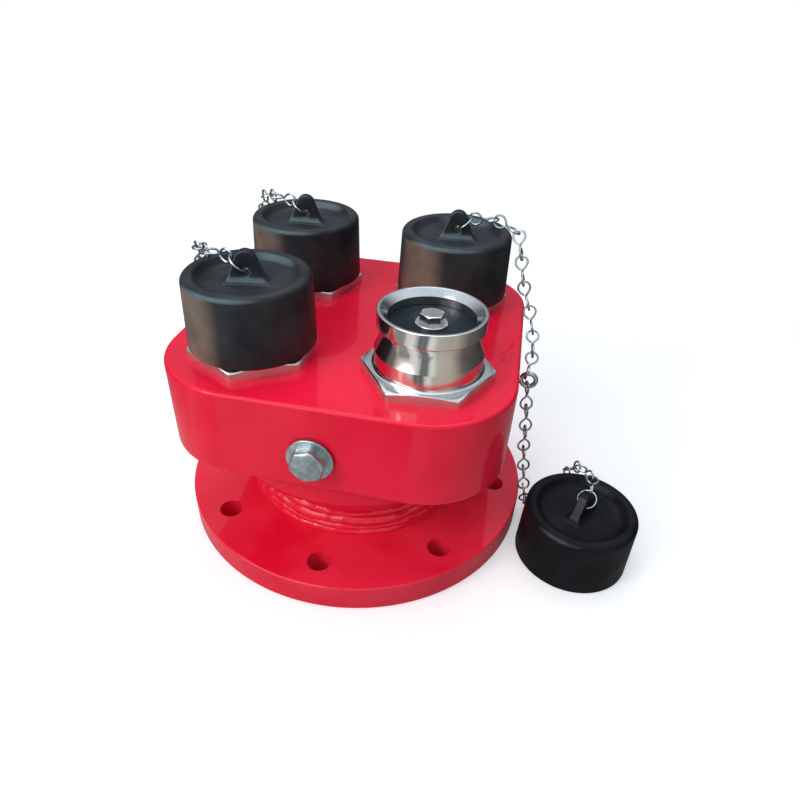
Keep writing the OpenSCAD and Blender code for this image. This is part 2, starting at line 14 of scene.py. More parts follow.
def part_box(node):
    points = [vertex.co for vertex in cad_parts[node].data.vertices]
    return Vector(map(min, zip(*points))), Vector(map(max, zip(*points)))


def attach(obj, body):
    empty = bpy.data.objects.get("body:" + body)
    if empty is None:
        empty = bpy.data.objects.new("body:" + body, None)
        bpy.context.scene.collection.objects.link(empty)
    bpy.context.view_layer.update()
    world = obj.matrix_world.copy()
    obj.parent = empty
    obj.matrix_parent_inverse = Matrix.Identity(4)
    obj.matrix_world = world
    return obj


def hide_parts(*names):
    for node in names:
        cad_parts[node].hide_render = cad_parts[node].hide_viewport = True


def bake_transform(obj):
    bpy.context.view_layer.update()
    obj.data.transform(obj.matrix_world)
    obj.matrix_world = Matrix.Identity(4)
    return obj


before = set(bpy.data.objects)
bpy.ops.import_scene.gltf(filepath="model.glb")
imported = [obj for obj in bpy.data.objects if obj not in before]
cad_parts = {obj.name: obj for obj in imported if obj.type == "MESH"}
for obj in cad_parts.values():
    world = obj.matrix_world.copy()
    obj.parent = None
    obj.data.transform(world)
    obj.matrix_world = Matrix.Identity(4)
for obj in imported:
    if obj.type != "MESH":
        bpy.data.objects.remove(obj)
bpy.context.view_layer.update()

# ---- Camera ----
# It stands in front of the drain plug and a little to the right, close to the object,
# and looks down on the head.

camera_place = (0.0985, -0.4053, 0.3757)
camera_turn = math.radians(10.88)
camera_tilt = math.radians(53.52)
camera_roll = math.radians(2.46)

camera = bpy.data.objects.new("camera", bpy.data.cameras.new("camera"))
camera.data.sensor_width = 36
camera.data.lens = 27.26
camera.data.shift_x = 0.0215
camera.data.shift_y = 0.0252
camera.matrix_world = (
    Matrix.Translation(camera_place)
    @ Matrix.Rotation(camera_turn, 4, "Z")
    @ Matrix.Rotation(camera_tilt, 4, "X")
    @ Matrix.Rotation(camera_roll, 4, "Z")
)
bpy.context.scene.collection.objects.link(camera)
bpy.context.scene.camera = camera
bpy.context.scene.view_settings.view_transform = "Standard"

# ---- Floor and light ----
# A plain white floor, a pale room and three lamps. The main lamp and a small bright window
# stand at the front left, so the right side of the head and of the flange is in shade.

floor_size = 4.0
floor_tone = (0.80, 0.80, 0.80, 1)
floor_glow = 0.32
bounce_tone = (0.50, 0.50, 0.50, 1)
plain_white = (1, 1, 1, 1)
# Distances over which the floor turns plain white, and over which its reflection turns
# into the room's.
white_fade = (0.35, 0.9)
room_fade = (0.16, 0.40)
room_light = 0.72
mirror_light = 1.05
sky_tone = (0.72, 0.84, 0.96, 1)
sky_fade = (0.25, 0.75)
clutter_tone = (0.10, 0.16, 0.21, 1)
clutter_scale = 4.0
clutter_share = 0.85
# Tones of the walls by direction, from the left (-X) by the front, right and back.
wall_tones = [
    (0.00, (0.10, 0.09, 0.09, 1)), (0.07, (0.20, 0.17, 0.16, 1)), (0.10, (0.95, 0.78, 0.68, 1)),
    (0.15, (0.80, 0.72, 0.66, 1)), (0.20, (0.90, 0.90, 0.86, 1)), (0.225, (0.55, 0.56, 0.54, 1)),
    (0.235, (0.05, 0.05, 0.06, 1)), (0.25, (0.26, 0.27, 0.26, 1)), (0.265, (0.08, 0.09, 0.09, 1)),
    (0.28, (0.80, 0.83, 0.79, 1)), (0.30, (0.85, 0.87, 0.83, 1)), (0.32, (0.56, 0.54, 0.47, 1)),
    (0.40, (0.52, 0.46, 0.40, 1)), (0.47, (0.16, 0.14, 0.13, 1)), (0.62, (0.04, 0.04, 0.04, 1)),
    (0.80, (0.18, 0.18, 0.20, 1)), (1.00, (0.10, 0.09, 0.09, 1)),
]
lamps = [
    ("main_lamp", (-0.90, -1.20, 1.20), 1.8, 17.5),
    ("window_lamp", (-1.05, -1.05, 1.15), 0.35, 4.5),
    ("top_lamp", (-0.05, 0.25, 1.5), 1.2, 7.5),
]
lamp_aim = Vector((0, 0, 0.1))


def add_node(tree, kind, inputs=(), **settings):
    """A shader node with its settings, and its inputs as values or as sockets to link."""
    node = tree.nodes.new(kind)
    for key, value in settings.items():
        setattr(node, key, value)
    for key, value in dict(inputs).items():
        if isinstance(value, bpy.types.NodeSocket):
            tree.links.new(value, node.inputs[key])
        else:
            node.inputs[key].default_value = value
    return node


def group_of(name, inputs, outputs):
    """An empty shader node group with those inputs, each (kind, value), and outputs."""
    group = bpy.data.node_groups.new(name, "ShaderNodeTree")
    for key, (kind, value) in inputs.items():
        group.interface.new_socket(key, in_out="INPUT", socket_type=kind).default_value = value
    for key, kind in outputs.items():
        group.interface.new_socket(key, in_out="OUTPUT", socket_type=kind)
    return group, group.nodes.new("NodeGroupInput"), group.nodes.new("NodeGroupOutput")


def use_group(tree, group, **values):
    """The group placed in a material, with its inputs set."""
    node = tree.nodes.new("ShaderNodeGroup")
    node.node_tree = group
    for key, value in values.items():
        node.inputs[key.replace("_", " ")].default_value = value
    return node


def ramp(tree, source, stops):
    """A colour ramp on a mask, from its (place, colour) stops."""
    node = add_node(tree, "ShaderNodeValToRGB", {"Fac": source})
    elements = node.color_ramp.elements
    while len(elements) < len(stops):
        elements.new(1.0)
    for element, (place, colour) in zip(elements, stops):
        element.position = place
        element.color = colour
    return node


def mix_colours(tree, amount, under, over):
    """The socket of a mix from one colour's socket to a plain colour over it."""
    node = add_node(tree, "ShaderNodeMix", {"Factor": amount}, data_type="RGBA")
    tree.links.new(under, node.inputs["A"])
    node.inputs["B"].default_value = over
    return node.outputs["Result"]


def mix_shaders(tree, amount, first, second):
    """A mix of two shader nodes."""
    return add_node(
        tree, "ShaderNodeMixShader", {0: amount, 1: first.outputs[0], 2: second.outputs[0]}
    )


def between(tree, value, start, end, top=1.0, kind="LINEAR"):
    """A mask that goes from 0 to its top as a value goes from start to end."""
    return add_node(
        tree, "ShaderNodeMapRange",
        {"Value": value, "From Min": start, "From Max": end, "To Max": top},
        interpolation_type=kind,
    ).outputs["Result"]


def by_ray(tree, others, glossy, plain):
    """What camera and see-through rays meet, what glossy rays meet and what others meet."""
    ray = add_node(tree, "ShaderNodeLightPath").outputs
    clear = add_node(
        tree, "ShaderNodeMath", {0: ray["Is Camera Ray"], 1: ray["Is Transmission Ray"]},
        operation="MAXIMUM",
    )
    shown = mix_shaders(tree, ray["Is Glossy Ray"], others, glossy)
    return mix_shaders(tree, clear.outputs[0], shown, plain).outputs[0]


# Group "room_tones": the colour of the pale room in a direction, walls below, sky above,
# with dark clutter low on the left.
room_tones, given, result = group_of(
    "room_tones", {"Direction": ("NodeSocketVector", (0, 0, 0))}, {"Color": "NodeSocketColor"}
)
ahead = add_node(
    room_tones, "ShaderNodeVectorMath", {0: given.outputs["Direction"]}, operation="NORMALIZE"
).outputs["Vector"]
toward = add_node(room_tones, "ShaderNodeSeparateXYZ", {0: ahead}).outputs
turn = add_node(
    room_tones, "ShaderNodeMath", {0: toward["Y"], 1: toward["X"]}, operation="ARCTAN2"
)
turn = between(room_tones, turn.outputs[0], -math.pi, math.pi)
walls = ramp(room_tones, turn, wall_tones).outputs["Color"]
clutter = add_node(
    room_tones, "ShaderNodeTexNoise", {"Vector": ahead, "Scale": clutter_scale, "Detail": 3.0}
)
clutter = between(room_tones, clutter.outputs["Fac"], 0.53, 0.57)
low_down = between(room_tones, toward["Z"], 0.10, -0.02, top=clutter_share)
leftward = between(room_tones, turn, 0.33, 0.30)
for mask in (low_down, leftward):
    clutter = add_node(
        room_tones, "ShaderNodeMath", {0: clutter, 1: mask}, operation="MULTIPLY"
    ).outputs[0]
above = between(room_tones, toward["Z"], *sky_fade, kind="SMOOTHSTEP")
furnished = mix_colours(room_tones, clutter, walls, clutter_tone)
around = mix_colours(room_tones, above, furnished, sky_tone)
room_tones.links.new(around, result.inputs["Color"])

floor_material = bpy.data.materials.new("white_floor")
floor_material.use_nodes = True
tree = floor_material.node_tree
tree.nodes.clear()
place = add_node(tree, "ShaderNodeTexCoord").outputs["Object"]
away = add_node(tree, "ShaderNodeVectorMath", {0: place}, operation="LENGTH").outputs["Value"]
sheet = add_node(tree, "ShaderNodeBsdfDiffuse", {"Color": floor_tone})
glow = add_node(tree, "ShaderNodeEmission", {"Color": plain_white, "Strength": floor_glow})
near = add_node(tree, "ShaderNodeAddShader", {0: sheet.outputs[0], 1: glow.outputs[0]})
white = add_node(tree, "ShaderNodeEmission", {"Color": plain_white, "Strength": 1.0})
bounce = add_node(tree, "ShaderNodeBsdfDiffuse", {"Color": bounce_tone})
tones = use_group(tree, room_tones)
tree.links.new(place, tones.inputs["Direction"])
mirrored = add_node(
    tree, "ShaderNodeEmission", {"Color": tones.outputs["Color"], "Strength": mirror_light}
)
plain = mix_shaders(tree, between(tree, away, *white_fade, kind="SMOOTHSTEP"), near, white)
toned = mix_shaders(tree, between(tree, away, *room_fade, kind="SMOOTHSTEP"), bounce, mirrored)
shown = by_ray(tree, others=bounce, glossy=toned, plain=plain)
add_node(tree, "ShaderNodeOutputMaterial", {"Surface": shown})

bm = bmesh.new()
bmesh.ops.create_grid(bm, x_segments=1, y_segments=1, size=floor_size / 2)
floor_mesh = bpy.data.meshes.new("floor")
bm.to_mesh(floor_mesh)
bm.free()
floor_mesh.materials.append(floor_material)
floor = bpy.data.objects.new("floor", floor_mesh)
bpy.context.scene.collection.objects.link(floor)

room = bpy.data.worlds.new("pale_room")
room.use_nodes = True
tree = room.node_tree
tree.nodes.clear()
tones = use_group(tree, room_tones)
tree.links.new(
    add_node(tree, "ShaderNodeTexCoord").outputs["Generated"], tones.inputs["Direction"]
)
soft, mirrored, white = (
    add_node(tree, "ShaderNodeBackground", {"Color": colour, "Strength": strength})
    for colour, strength in (
        (tones.outputs["Color"], room_light), (tones.outputs["Color"], mirror_light),
        (plain_white, 1.0),
    )
)
shown = by_ray(tree, others=soft, glossy=mirrored, plain=white)
add_node(tree, "ShaderNodeOutputWorld", {"Surface": shown})
bpy.context.scene.world = room

for name, place, size, power in lamps:
    lamp = bpy.data.objects.new(name, bpy.data.lights.new(name, "AREA"))
    lamp.data.shape = "DISK"
    lamp.data.size = size
    lamp.data.energy = power
    lamp.location = place
    lamp.rotation_euler = (lamp_aim - Vector(place)).to_track_quat("-Z", "Y").to_euler()
    bpy.context.scene.collection.objects.link(lamp)

# ---- Base flange, riser pipe and seal weld ----
# A steel slip-on flange and a length of pipe, welded and sprayed with glossy red enamel
# with the rest of the casting. The enamel is thick and flows a little over the metal.

enamel = (0.86, 0.007, 0.042, 1)
enamel_deep = (0.80, 0.005, 0.034, 1)

# Group "waves": slow hollows of a hand-finished surface and the fine grain on them.
waves, given, result = group_of(
    "waves",
    {
        "Slow Scale": ("NodeSocketFloat", 30.0),
        "Fine Scale": ("NodeSocketFloat", 900.0),
        "Fine Share": ("NodeSocketFloat", 0.1),
    },
    {"Height": "NodeSocketFloat", "Patches": "NodeSocketFloat"},
)
place = add_node(waves, "ShaderNodeTexCoord")
slow = add_node(
    waves, "ShaderNodeTexNoise",
    {"Vector": place.outputs["Object"], "Scale": given.outputs["Slow Scale"], "Detail": 3.0},
)
fine = add_node(
    waves, "ShaderNodeTexNoise",
    {"Vector": place.outputs["Object"], "Scale": given.outputs["Fine Scale"], "Detail": 2.0},
)
fine_part = add_node(
    waves, "ShaderNodeMath",
    {0: fine.outputs["Fac"], 1: given.outputs["Fine Share"]}, operation="MULTIPLY",
)
both = add_node(waves, "ShaderNodeMath", {0: slow.outputs["Fac"], 1: fine_part.outputs[0]})
waves.links.new(both.outputs[0], result.inputs["Height"])
waves.links.new(slow.outputs["Fac"], result.inputs["Patches"])


def shade(name, **constants):
    """A new material with a Principled shader, and the two as (material, tree, shader)."""
    material = bpy.data.materials.new(name)
    material.use_nodes = True
    tree = material.node_tree
    shader = tree.nodes["Principled BSDF"]
    for key, value in constants.items():
        shader.inputs[key.replace("_", " ")].default_value = value
    return material, tree, shader


def span(tree, source, low, high):
    """A mask of 0 to 1 stretched to run from low to high."""
    node = add_node(tree, "ShaderNodeMapRange", {"Value": source, "To Min": low, "To Max": high})
    return node.outputs["Result"]


def link_shader(tree, shader, colour, rough, bump):
    """Links a colour, a roughness and a bump node to the shader."""
    tree.links.new(colour, shader.inputs["Base Color"])
    tree.links.new(rough, shader.inputs["Roughness"])
    tree.links.new(bump.outputs["Normal"], shader.inputs["Normal"])


def red_enamel(name, slow_scale, depth, gloss=0.45, worn=0.0):
    """Glossy red enamel over metal with hollows of that scale and depth, its colour paler
    where it is worn."""
    material, tree, shader = shade(
        name, Specular_IOR_Level=0.1, Coat_Weight=gloss, Coat_Roughness=0.045, Coat_IOR=1.45
    )
    uneven = use_group(tree, waves, Slow_Scale=slow_scale, Fine_Scale=700.0, Fine_Share=0.06)
    pale = (enamel[0], enamel[1] + worn, enamel[2] + worn, 1)
    colour = ramp(tree, uneven.outputs["Patches"], [(0.35, enamel_deep), (0.62, pale)])
    bump = add_node(
        tree, "ShaderNodeBump", {"Height": uneven.outputs["Height"], "Distance": depth}
    )
    rough = span(tree, uneven.outputs["Patches"], 0.30, 0.46)
    link_shader(tree, shader, colour.outputs["Color"], rough, bump)
    return material


def dress(material, *nodes):
    """Gives carried-over pieces of the frame their finish."""
    for node in nodes:
        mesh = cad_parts[node].data
        mesh.materials.clear()
        mesh.materials.append(material)


flange_enamel = red_enamel("red_enamel_flange", 18.0, 0.0006, worn=0.016)
dress(flange_enamel, "base_flange", "neck_pipe", "inner_weld")

# ---- Head ----
# One iron casting: the water chamber, its round socket and the inlet ports. Its enamel
# follows the slight hollows of the casting.

dress(red_enamel("red_enamel_casting", 26.0, 0.0009), "head")

# ---- Welds ----
# Hand-laid arc weld: four runs lap over each other in the corner of the flange and the
# pipe, and one run closes the pipe to the socket. Enamel fills their ripples.

# How far out of the corner and up it each run at the foot lies, and its bead's radius.
foot_runs = [
    (0.0028, 0.0014, 0.0040), (0.0016, 0.0056, 0.0042),
    (0.0006, 0.0110, 0.0046), (-0.0009, 0.0170, 0.0036),
]
socket_bead = 0.006
ripple_share = 0.008
wander_share = 0.12
lump_share = 0.05
streak_share = 0.07
flange_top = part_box("base_flange")[1].z
pipe_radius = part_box("neck_pipe")[1].x
socket_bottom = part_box("head")[0].z


def as_piece(name, bm, material, slot, body, *nodes):
    """The finished mesh as a piece on a body, in place of those nodes of the frame."""
    bmesh.ops.remove_doubles(bm, verts=bm.verts, dist=1e-7)
    bmesh.ops.recalc_face_normals(bm, faces=bm.faces)
    mesh = bpy.data.meshes.new(name)
    bm.to_mesh(mesh)
    bm.free()
    mesh.materials.append(material)
    mesh.shade_smooth()
    mesh.set_sharp_from_angle(angle=math.radians(21))
    piece = bpy.data.objects.new(name, mesh)
    bpy.context.scene.collection.objects.link(piece)
    if body:
        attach(piece, body)
    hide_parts(*nodes)
    return piece


def lay_weld_run(bm, radius, height, bead, seed, ripples=170):
    """One run of weld round the pipe, with faint ripples, streaks and an unsteady hand."""
    ring = bmesh.ops.create_circle(
        bm, segments=14, radius=bead,
        matrix=Matrix.Translation((radius, 0, height)) @ Matrix.Rotation(math.pi / 2, 4, "X"),
    )["verts"]
    edges = list({edge for vert in ring for edge in vert.link_edges})
    bmesh.ops.spin(
        bm, geom=edges, cent=(0, 0, 0), axis=(0, 0, 1), angle=math.tau, steps=ripples * 4,
        use_merge=True,
    )
    middle = Vector((radius, height))
    for vert in bm.verts:
        across = Vector((math.hypot(vert.co.x, vert.co.y), vert.co.z)) - middle
        if across.length > bead * 1.01:
            continue
        turn = math.atan2(vert.co.y, vert.co.x)
        lean = across.y / bead * 0.9
        ripple = math.sin(turn * ripples + lean * 2.2)
        wander = noise.noise(Vector((math.cos(turn) * 4, math.sin(turn) * 4, seed)))
        lump = noise.noise(Vector((math.cos(turn) * 14, math.sin(turn) * 14, seed + 5)))
        streak = noise.noise(Vector((math.cos(turn) * 5, math.sin(turn) * 5, across.y * 900)))
        swell = 1 + ripple_share * ripple + wander_share * wander
        swell += lump_share * lump + streak_share * streak
        flat = middle + across * swell + Vector((0.0006 * wander, 0.0008 * lump))
        vert.co = Vector((math.cos(turn) * flat.x, math.sin(turn) * flat.x, flat.y))


weld_enamel = red_enamel("red_enamel_weld", 120.0, 0.0005, gloss=1.0)
welds = bmesh.new()
for number, (out, up, bead) in enumerate(foot_runs):
    run = bmesh.new()
    lay_weld_run(run, pipe_radius + out, flange_top + up, bead, number * 3.7)
    made = bpy.data.meshes.new("run")
    run.to_mesh(made)
    run.free()
    welds.from_mesh(made)
    bpy.data.meshes.remove(made)
as_piece("foot_weld", welds, weld_enamel, "red_paint", "root", "lower_weld")

socket_weld = bmesh.new()
lay_weld_run(socket_weld, pipe_radius, socket_bottom, socket_bead, 21.0, ripples=150)
as_piece("socket_weld", socket_weld, weld_enamel, "red_paint", "root", "upper_weld")

# ---- Drain plug ----
# A zinc-plated steel plug with a round flange under its hexagon, screwed into the front
# wall on a fibre ring. Its face is turned, with the usual chamfer round the corners.

plug_middle = Vector((-0.0022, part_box("drain_seal")[1].y, 0.123))
plug_flange_radius = 0.016
plug_flange_low = 0.0013
plug_flange_high = 0.0028
plug_out = 0.011
plug_flats = 0.022
plug_face_radius = 0.0098
plug_thread_radius = 0.0131
plug_thread_end = -0.014
plug_turn = math.radians(17)
plug_slope = 0.42
fibre_dark = (0.05, 0.035, 0.03, 1)
fibre_pale = (0.10, 0.07, 0.055, 1)


def spin_profile(bm, points, steps=128, closed=False):
    """Turns a profile of (radius, height) points round the Z axis."""
    verts = [bm.verts.new((radius, 0, height)) for radius, height in points]
    pairs = list(zip(verts, verts[1:]))
    if closed:
        pairs.append((verts[-1], verts[0]))
    edges = [bm.edges.new(pair) for pair in pairs]
    bmesh.ops.spin(
        bm, geom=verts + edges, cent=(0, 0, 0), axis=(0, 0, 1), angle=math.tau, steps=steps,
        use_merge=True,
    )
    bmesh.ops.remove_doubles(bm, verts=bm.verts, dist=1e-6)


def arc(middle, radius, start, end, steps=6):
    """Points of an arc of a profile, with its angles in degrees."""
    turns = [math.radians(start + (end - start) * step / steps) for step in range(steps + 1)]
    return [(middle[0] + radius * math.cos(t), middle[1] + radius * math.sin(t)) for t in turns]


def turned_hexagon(bm, flats, low, high, face_radius, slope, turn, hole=0.0, edge=0.0003):
    """A hexagon whose corners are turned down by a cone, round a hole or over a pole."""
    bottom = bmesh.ops.create_circle(
        bm, segments=6, radius=flats / 2 / math.cos(math.pi / 6),
        matrix=Matrix.Translation((0, 0, low)) @ Matrix.Rotation(turn - math.pi / 2, 4, "Z"),
    )["verts"]
    bottom = list({side for vert in bottom for side in vert.link_edges})
    cut = bmesh.ops.subdivide_edges(bm, edges=bottom, cuts=15)["geom_inner"]
    bottom = list({side for item in cut if isinstance(item, bmesh.types.BMVert)
                   for side in item.link_edges})
    corner = flats / 2 / math.cos(math.pi / 6) - edge
    for vert in {vert for side in bottom for vert in side.verts}:
        vert.co.xy *= min(1.0, corner / vert.co.xy.length)

    def lift(edges, inward, height):
        """Extrudes a ring of edges inward, up to a height or to the cone over it."""
        made = bmesh.ops.extrude_edge_only(bm, edges=edges)["geom"]
        fresh = {item for item in made if isinstance(item, bmesh.types.BMVert)}
        for vert in fresh:
            reach = vert.co.xy.length
            vert.co.xy *= inward(reach) / reach
            vert.co.z = height(vert.co.xy.length)
        return [
            item for item in made
            if isinstance(item, bmesh.types.BMEdge) and set(item.verts) <= fresh
        ]

    def cone(reach):
        """Height of the cone over that radius."""
        return high - slope * max(0.0, reach - face_radius)

    lower = lift(bottom, lambda reach: hole, lambda reach: low)
    upper = lift(bottom, lambda reach: reach, lambda reach: cone(reach) - edge)
    upper = lift(upper, lambda reach: reach - edge, cone)
    upper = lift(upper, lambda reach: min(face_radius, reach - edge), lambda reach: high)
    upper = lift(upper, lambda reach: hole, lambda reach: high)
    if hole:
        bmesh.ops.bridge_loops(bm, edges=lower + upper)


zinc_bright = (0.50, 0.58, 0.59, 1)
zinc_dull = (0.30, 0.37, 0.38, 1)


def zinc_plate(name, roughness=0.32):
    """Blotchy zinc plating over plain steel."""
    material, tree, shader = shade(name, Metallic=1.0)
    uneven = use_group(tree, waves, Slow_Scale=220.0, Fine_Scale=2500.0, Fine_Share=0.25)
    colour = ramp(tree, uneven.outputs["Patches"], [(0.30, zinc_dull), (0.68, zinc_bright)])
    bump = add_node(
        tree, "ShaderNodeBump", {"Height": uneven.outputs["Height"], "Distance": 0.00015}
    )
    rough = span(tree, uneven.outputs["Patches"], roughness + 0.14, roughness - 0.08)
    link_shader(tree, shader, colour.outputs["Color"], rough, bump)
    return material


plug = bmesh.new()
spin_profile(
    plug,
    [(0.0, plug_flange_low), (plug_thread_radius, plug_flange_low)]
    + arc((plug_flange_radius - 0.0006, plug_flange_low + 0.0006), 0.0006, -90, 0)
    + arc((plug_flange_radius - 0.0008, plug_flange_high - 0.0006), 0.0008, 0, 90)
    + [(0.0, plug_flange_high + 0.0002)],
    steps=72,
)
turned_hexagon(
    plug, plug_flats, plug_flange_high - 0.0002, plug_out, plug_face_radius, plug_slope,
    plug_turn, edge=0.0007,
)
spin_profile(
    plug,
    [(0.0, plug_thread_end), (plug_thread_radius - 0.001, plug_thread_end),
     (plug_thread_radius, plug_thread_end + 0.001), (plug_thread_radius, plug_flange_low + 0.0003),
     (0.0, plug_flange_low + 0.0003)],
    steps=72,
)
bmesh.ops.transform(
    plug, verts=plug.verts,
    matrix=Matrix.Translation(plug_middle) @ Matrix.Rotation(math.pi / 2, 4, "X"),
)
as_piece("hexagon_plug", plug, zinc_plate("zinc_plug"), "zinc_plate", "drain_plug", "drain_plug")

fibre, tree, shader = shade("red_fibre", Roughness=0.8)
uneven = use_group(tree, waves, Slow_Scale=900.0, Fine_Scale=4000.0, Fine_Share=0.5)
colour = ramp(tree, uneven.outputs["Height"], [(0.3, fibre_dark), (0.8, fibre_pale)])
tree.links.new(colour.outputs["Color"], shader.inputs["Base Color"])
dress(fibre, "drain_seal")

# ---- Inlets ----
# Four male couplings, each turned from one bar of stainless steel with its hexagon, and
# polished. The lathe leaves fine rings on the faces and round the waist.

head_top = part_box("head")[1].z
corners = ["fl", "fr", "bl", "br"]
inlet_reach = 0.061
inlet_axes = {
    "fl": (-inlet_reach, -inlet_reach), "fr": (inlet_reach, -inlet_reach),
    "bl": (-inlet_reach, inlet_reach), "br": (inlet_reach, inlet_reach),
}
hexagon_turns = {"fl": 32, "fr": 4, "bl": 12, "br": 5}
hexagon_flats = 0.080
hexagon_height = 0.007
hexagon_face_radius = 0.0408
base_radius = 0.0360
waist_radius = 0.0315
lip_radius = 0.0352
lip_height = 0.046
lip_low = 0.0365
waist_height = 0.0335
flare_height = 0.019
spigot_radius = 0.0375
spigot_end = -0.015
spigot_bore = 0.0342
mouth_radius = 0.0331
seat_radius = 0.0284
seat_top = 0.0414
seat_low = 0.0360
throat_radius = 0.0293
throat_low = 0.0240
chamber_radius = 0.0335
chamber_top = 0.0180
chamber_low = -0.0080
steel_bright = (0.72, 0.71, 0.69, 1)
steel_dull = (0.60, 0.59, 0.57, 1)
sawn_roughness = 0.30

# Group "turning_marks": fine rings left by the lathe round the axis through Centre.
turning_marks, given, result = group_of(
    "turning_marks",
    {"Centre": ("NodeSocketVector", (0, 0, 0)), "Rings": ("NodeSocketFloat", 2500.0)},
    {"Height": "NodeSocketFloat", "Bands": "NodeSocketFloat"},
)
place = add_node(turning_marks, "ShaderNodeTexCoord")
around = add_node(
    turning_marks, "ShaderNodeVectorMath",
    {0: place.outputs["Object"], 1: given.outputs["Centre"]}, operation="SUBTRACT",
)
parts = add_node(turning_marks, "ShaderNodeSeparateXYZ", {"Vector": around.outputs["Vector"]})
flat = add_node(
    turning_marks, "ShaderNodeCombineXYZ", {"X": parts.outputs["X"], "Y": parts.outputs["Y"]}
)
radius = add_node(
    turning_marks, "ShaderNodeVectorMath", {0: flat.outputs["Vector"]}, operation="LENGTH"
)
across = add_node(
    turning_marks, "ShaderNodeCombineXYZ",
    {"X": radius.outputs["Value"], "Y": parts.outputs["Z"]},
)
rings = add_node(
    turning_marks, "ShaderNodeTexNoise",
    {"Vector": across.outputs["Vector"], "Scale": given.outputs["Rings"], "Detail": 2.0},
)
bands = add_node(
    turning_marks, "ShaderNodeTexNoise",
    {"Vector": across.outputs["Vector"], "Scale": 260.0, "Detail": 1.0},
)
turning_marks.links.new(rings.outputs["Fac"], result.inputs["Height"])
turning_marks.links.new(bands.outputs["Fac"], result.inputs["Bands"])


def turned_steel(name, axis, roughness=0.10, depth=0.000012):
    """Polished stainless steel turned round an upright axis."""
    material, tree, shader = shade(name, Metallic=1.0)
    marks = use_group(tree, turning_marks, Centre=(axis[0], axis[1], 0.0), Rings=2500.0)
    uneven = use_group(tree, waves, Slow_Scale=60.0, Fine_Scale=3000.0, Fine_Share=0.02)
    colour = ramp(tree, uneven.outputs["Patches"], [(0.3, steel_dull), (0.7, steel_bright)])
    fine = add_node(tree, "ShaderNodeBump", {"Height": marks.outputs["Height"], "Distance": depth})
    bump = add_node(
        tree, "ShaderNodeBump",
        {"Height": uneven.outputs["Height"], "Distance": 0.00012, "Normal": fine.outputs["Normal"]},
    )
    height = add_node(
        tree, "ShaderNodeSeparateXYZ",
        {0: add_node(tree, "ShaderNodeTexCoord").outputs["Object"]},
    )
    face = head_top + hexagon_height
    sawn = between(tree, height.outputs["Z"], face - 0.0002, face - 0.0012, top=sawn_roughness)
    rough = add_node(
        tree, "ShaderNodeMath",
        {0: span(tree, marks.outputs["Bands"], roughness - 0.04, roughness + 0.10),
         1: sawn},
    ).outputs[0]
    link_shader(tree, shader, colour.outputs["Color"], rough, bump)
    return material


def waist_curve(steps=14):
    """The hollow between the base's edge and the lip's lower edge."""
    lower = [
        (waist_radius + (base_radius - waist_radius) * (1 - t) ** 1.5,
         flare_height + (waist_height - flare_height) * t)
        for t in (step / steps for step in range(steps))
    ]
    upper = [
        (waist_radius + (lip_radius - waist_radius) * t ** 2,
         waist_height + (lip_low - waist_height) * t)
        for t in (step / steps for step in range(steps + 1))
    ]
    return lower + upper


inlet_profile = (
    [(spigot_bore, spigot_end), (spigot_radius - 0.0008, spigot_end),
     (spigot_radius, spigot_end + 0.0008), (spigot_radius, 0.0005), (base_radius + 0.002, 0.0005)]
    + arc((base_radius + 0.0020, hexagon_height + 0.0020), 0.0020, 270, 180, 6)
    + waist_curve()
    + arc((lip_radius - 0.0006, lip_height - 0.0006), 0.0006, 0, 90, 5)
    + arc((mouth_radius, lip_height - 0.0004), 0.0004, 90, 135, 3)
    + [(seat_radius + 0.0007, seat_top + 0.0007), (seat_radius, seat_top),
       (seat_radius, seat_low), (throat_radius, seat_low), (throat_radius, throat_low),
       (chamber_radius, chamber_top), (chamber_radius, chamber_low), (spigot_bore, chamber_low)]
)
valve_parts = ["valve_guide", "valve_plate", "valve_washer", "valve_spindle", "valve_nut"]
for corner in corners:
    axis = inlet_axes[corner]
    steel = turned_steel(f"turned_steel_{corner}", axis)
    inlet = bmesh.new()
    turned_hexagon(
        inlet, hexagon_flats, 0.0, hexagon_height, hexagon_face_radius, 0.3,
        math.radians(hexagon_turns[corner]), hole=base_radius - 0.0008, edge=0.0006,
    )
    spin_profile(inlet, inlet_profile, steps=160, closed=True)
    bmesh.ops.translate(inlet, verts=inlet.verts, vec=(*axis, head_top))
    as_piece(f"male_inlet_{corner}", inlet, steel, "inlet_steel", "root", f"inlet_{corner}")

# ---- Back-pressure valves ----
# In each inlet a rubber disc on a steel plate, clamped by a washer under the head of its
# spindle. A wire spring on the guide spider holds it up against the seat.

spring_radius = 0.007
spring_wire = 0.0009
spring_turns = 7
per_turn = 12

# Group "facing": how far the surface turns from Low to High towards a direction.
facing, given, result = group_of(
    "facing",
    {
        "Direction": ("NodeSocketVector", (0, 0, 1)),
        "Low": ("NodeSocketFloat", 0.8),
        "High": ("NodeSocketFloat", 1.0),
    },
    {"Amount": "NodeSocketFloat"},
)
outward = add_node(
    facing, "ShaderNodeVectorMath",
    {0: add_node(facing, "ShaderNodeTexCoord").outputs["Normal"], 1: given.outputs["Direction"]},
    operation="DOT_PRODUCT",
)
amount = between(
    facing, outward.outputs["Value"], given.outputs["Low"], given.outputs["High"],
    kind="SMOOTHSTEP",
)
facing.links.new(amount, result.inputs["Amount"])


